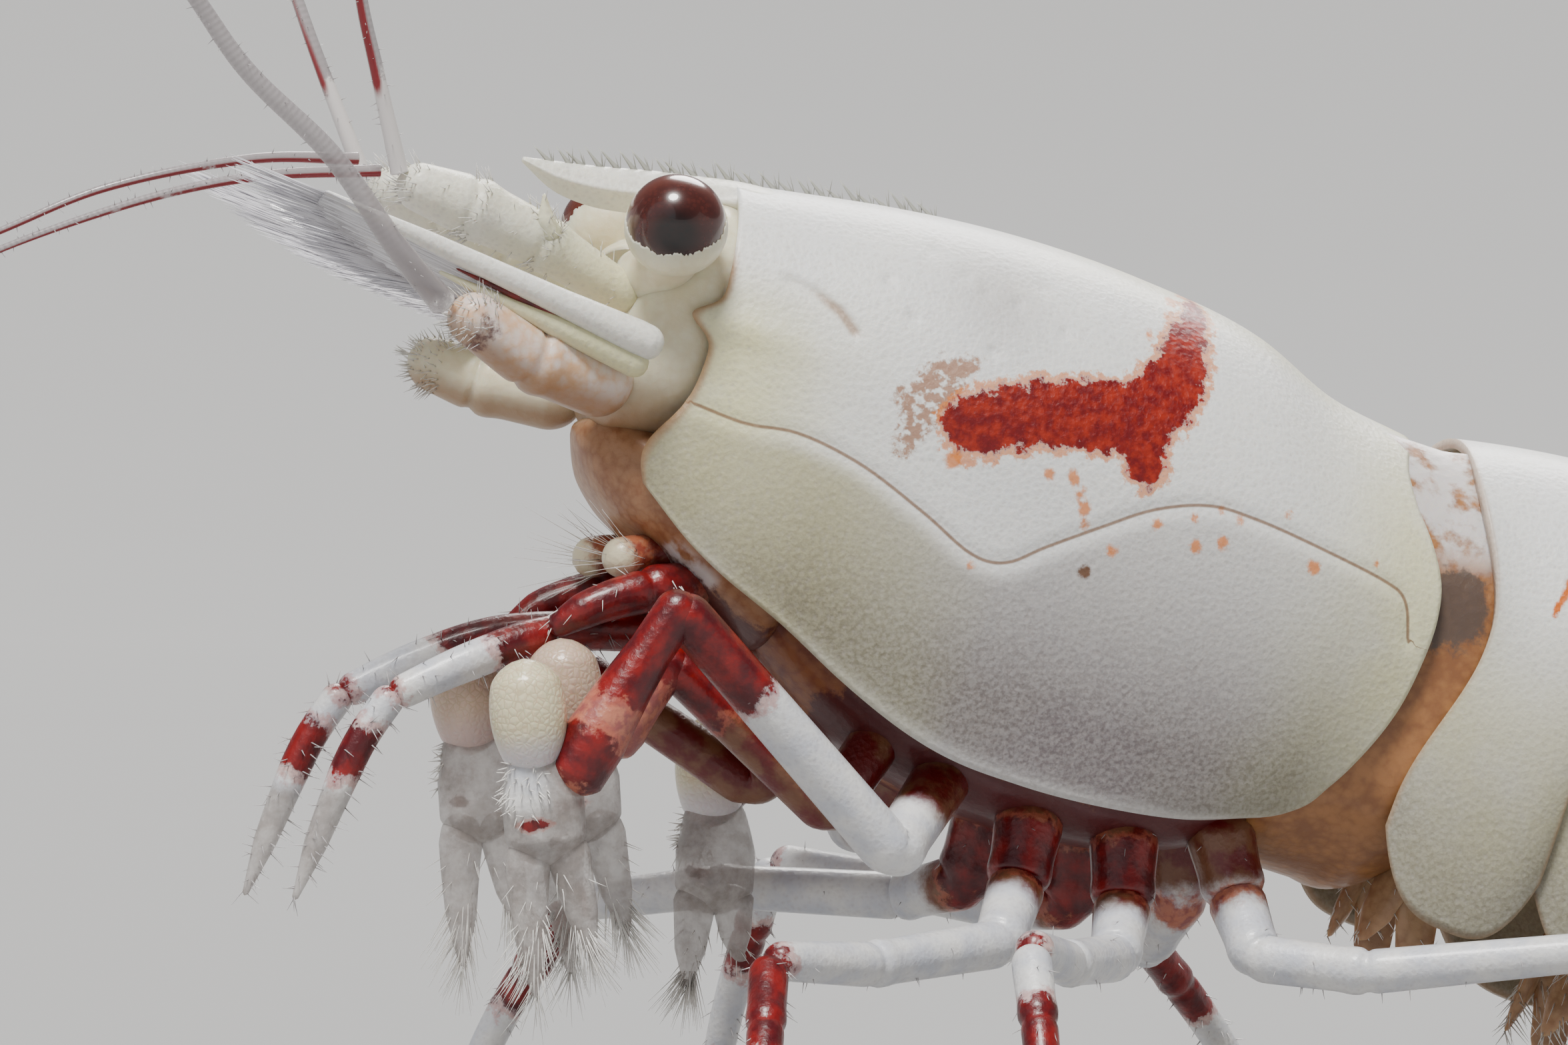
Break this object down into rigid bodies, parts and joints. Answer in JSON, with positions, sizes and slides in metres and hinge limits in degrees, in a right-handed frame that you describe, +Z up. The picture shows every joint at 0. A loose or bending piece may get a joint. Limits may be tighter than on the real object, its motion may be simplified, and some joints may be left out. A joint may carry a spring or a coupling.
{
  "type": "bee shrimp",
  "caption": "Still life-size model of a small freshwater bee shrimp standing head up on its walking legs, white shell with crimson marks, long feelers.",
  "frame": {"origin": "on the floor, under the middle of the whole animal's box", "axes": "+Z up; the head points to -X and the tail fan to +X; the animal's left side faces -Y"},
  "size_m": [0.0388, 0.015, 0.0196],
  "materials": {
    "shell": "porcelain white shell with crimson marks, softly glossy",
    "head_shell": "cream shell, softly glossy",
    "underside": "translucent amber brown, wet",
    "eye": "dark maroon, high gloss, on a cream stalk",
    "feeler": "greyish translucent with a red line inside",
    "limb": "crimson and white bands with glassy ends"
  },
  "bodies": {
    "root": {"carapace": "shell", "rostrum": "shell", "telson": "shell", "abdomen_1": "shell", "abdomen_2": "shell", "abdomen_3": "shell", "abdomen_4": "shell", "abdomen_5": "shell", "abdomen_6": "shell", "uropods_left": "shell", "uropods_right": "shell", "head": "head_shell", "antenna_base_left": "head_shell", "antenna_base_right": "head_shell", "antenna_scale_left": "head_shell", "antenna_scale_right": "head_shell", "antennule_left": "head_shell", "antennule_right": "head_shell", "thorax": "underside", "mouthparts": "underside", "swimmerets_1": "underside", "swimmerets_2": "underside", "swimmerets_3": "underside", "swimmerets_4": "underside", "swimmerets_5": "underside", "eye_left": "eye", "eye_right": "eye", "antenna_whip_left_near": "feeler", "antenna_whip_left_far": "feeler", "antenna_whip_right_near": "feeler", "antenna_whip_right_far": "feeler", "antennule_whip_inner_left": "feeler", "antennule_whip_outer_left": "feeler", "antennule_whip_inner_right": "feeler", "antennule_whip_outer_right": "feeler", "maxilliped_left": "limb", "maxilliped_right": "limb", "claw_leg_1_left_arm": "limb", "claw_leg_1_left_claw": "limb", "claw_leg_1_right_arm": "limb", "claw_leg_1_right_claw": "limb", "claw_leg_2_left_arm": "limb", "claw_leg_2_left_claw": "limb", "claw_leg_2_right_arm": "limb", "claw_leg_2_right_claw": "limb", "walking_leg_3_left_upper": "limb", "walking_leg_3_left_lower": "limb", "walking_leg_3_right_upper": "limb", "walking_leg_3_right_lower": "limb", "walking_leg_4_left_upper": "limb", "walking_leg_4_left_lower": "limb", "walking_leg_4_right_upper": "limb", "walking_leg_4_right_lower": "limb", "walking_leg_5_left_upper": "limb", "walking_leg_5_left_lower": "limb", "walking_leg_5_right_upper": "limb", "walking_leg_5_right_lower": "limb"}
  },
  "joints": []
}
